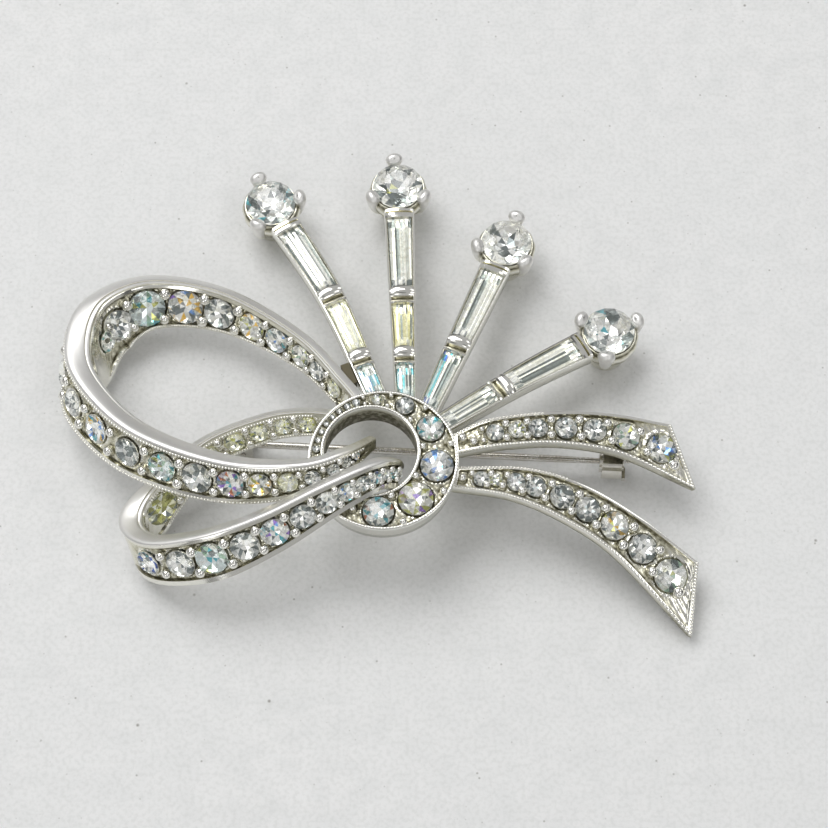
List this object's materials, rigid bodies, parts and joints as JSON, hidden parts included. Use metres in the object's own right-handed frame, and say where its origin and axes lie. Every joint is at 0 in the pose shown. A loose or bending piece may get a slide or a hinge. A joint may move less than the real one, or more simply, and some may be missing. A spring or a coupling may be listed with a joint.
{
  "type": "brooch",
  "caption": "Ribbon bow brooch with two pave loops and two pave tails through a round knot, a spray of baguette stems with prong-set stones, and a hinged pin with a turning safety catch.",
  "frame": {"origin": "centre of the bounding box in plan, on the surface that the brooch lies on with its pin side down", "axes": "+X along the length towards the ribbon tails, +Y towards the tips of the spray, +Z out of the face"},
  "size_m": [0.0651, 0.0532, 0.0133],
  "materials": {
    "plated_casting": "polished rhodium-coloured plating with yellow-grey tarnish in the stone channels",
    "fittings": "plated, satin, slightly tarnished",
    "pin_steel": "drawn steel wire, plated and worn bright",
    "round_stone": "foil-backed clear cut glass",
    "baguette_stone": "foil-backed step-cut glass, slightly yellowed"
  },
  "bodies": {
    "root": {"back_lug": "fittings", "catch_base": "fittings", "head_1_cup": "plated_casting", "head_1_stone": "round_stone", "head_2_cup": "plated_casting", "head_2_stone": "round_stone", "head_3_cup": "plated_casting", "head_3_stone": "round_stone", "head_4_cup": "plated_casting", "head_4_stone": "round_stone", "hinge_base": "fittings", "hinge_rivet": "pin_steel", "knot_ring": "plated_casting", "lower_loop": "plated_casting", "lower_loop_back_stones": "round_stone", "lower_loop_front_stones": "round_stone", "lower_tail": "plated_casting", "lower_tail_stone_1": "round_stone", "lower_tail_stone_2": "round_stone", "lower_tail_stone_3": "round_stone", "lower_tail_stone_4": "round_stone", "lower_tail_stone_5": "round_stone", "lower_tail_stone_6": "round_stone", "lower_tail_stone_7": "round_stone", "lower_tail_stone_8": "round_stone", "lower_tail_stone_9": "round_stone", "ring_small_stones": "round_stone", "ring_stone_1": "round_stone", "ring_stone_2": "round_stone", "ring_stone_3": "round_stone", "ring_stone_4": "round_stone", "ring_stone_5": "round_stone", "ring_stone_6": "round_stone", "stem_1_baguette_1": "baguette_stone", "stem_1_baguette_2": "baguette_stone", "stem_1_baguette_3": "baguette_stone", "stem_1_channel": "plated_casting", "stem_2_baguette_1": "baguette_stone", "stem_2_baguette_2": "baguette_stone", "stem_2_baguette_3": "baguette_stone", "stem_2_channel": "plated_casting", "stem_3_baguette_1": "baguette_stone", "stem_3_baguette_2": "baguette_stone", "stem_3_channel": "plated_casting", "stem_4_baguette_1": "baguette_stone", "stem_4_baguette_2": "baguette_stone", "stem_4_channel": "plated_casting", "upper_loop": "plated_casting", "upper_loop_back_stones": "round_stone", "upper_loop_front_stones": "round_stone", "upper_tail": "plated_casting", "upper_tail_stone_1": "round_stone", "upper_tail_stone_2": "round_stone", "upper_tail_stone_3": "round_stone", "upper_tail_stone_4": "round_stone", "upper_tail_stone_5": "round_stone", "upper_tail_stone_6": "round_stone", "upper_tail_stone_7": "round_stone"},
    "pin": {"pin_stem": "pin_steel"},
    "lock": {"catch_lock": "fittings"}
  },
  "joints": [
    {"name": "pin_hinge", "type": "hinge", "parent": "root", "child": "pin", "pos_m": [-0.0138, -0.0058, 0.002], "axis": [0.0523, 0.9986, 0], "range_deg": [0, 80]},
    {"name": "catch_turn", "type": "hinge", "parent": "root", "child": "lock", "pos_m": [0.0244, -0.0078, 0.002], "axis": [-0.9986, 0.0523, 0], "range_deg": [0, 100]}
  ]
}
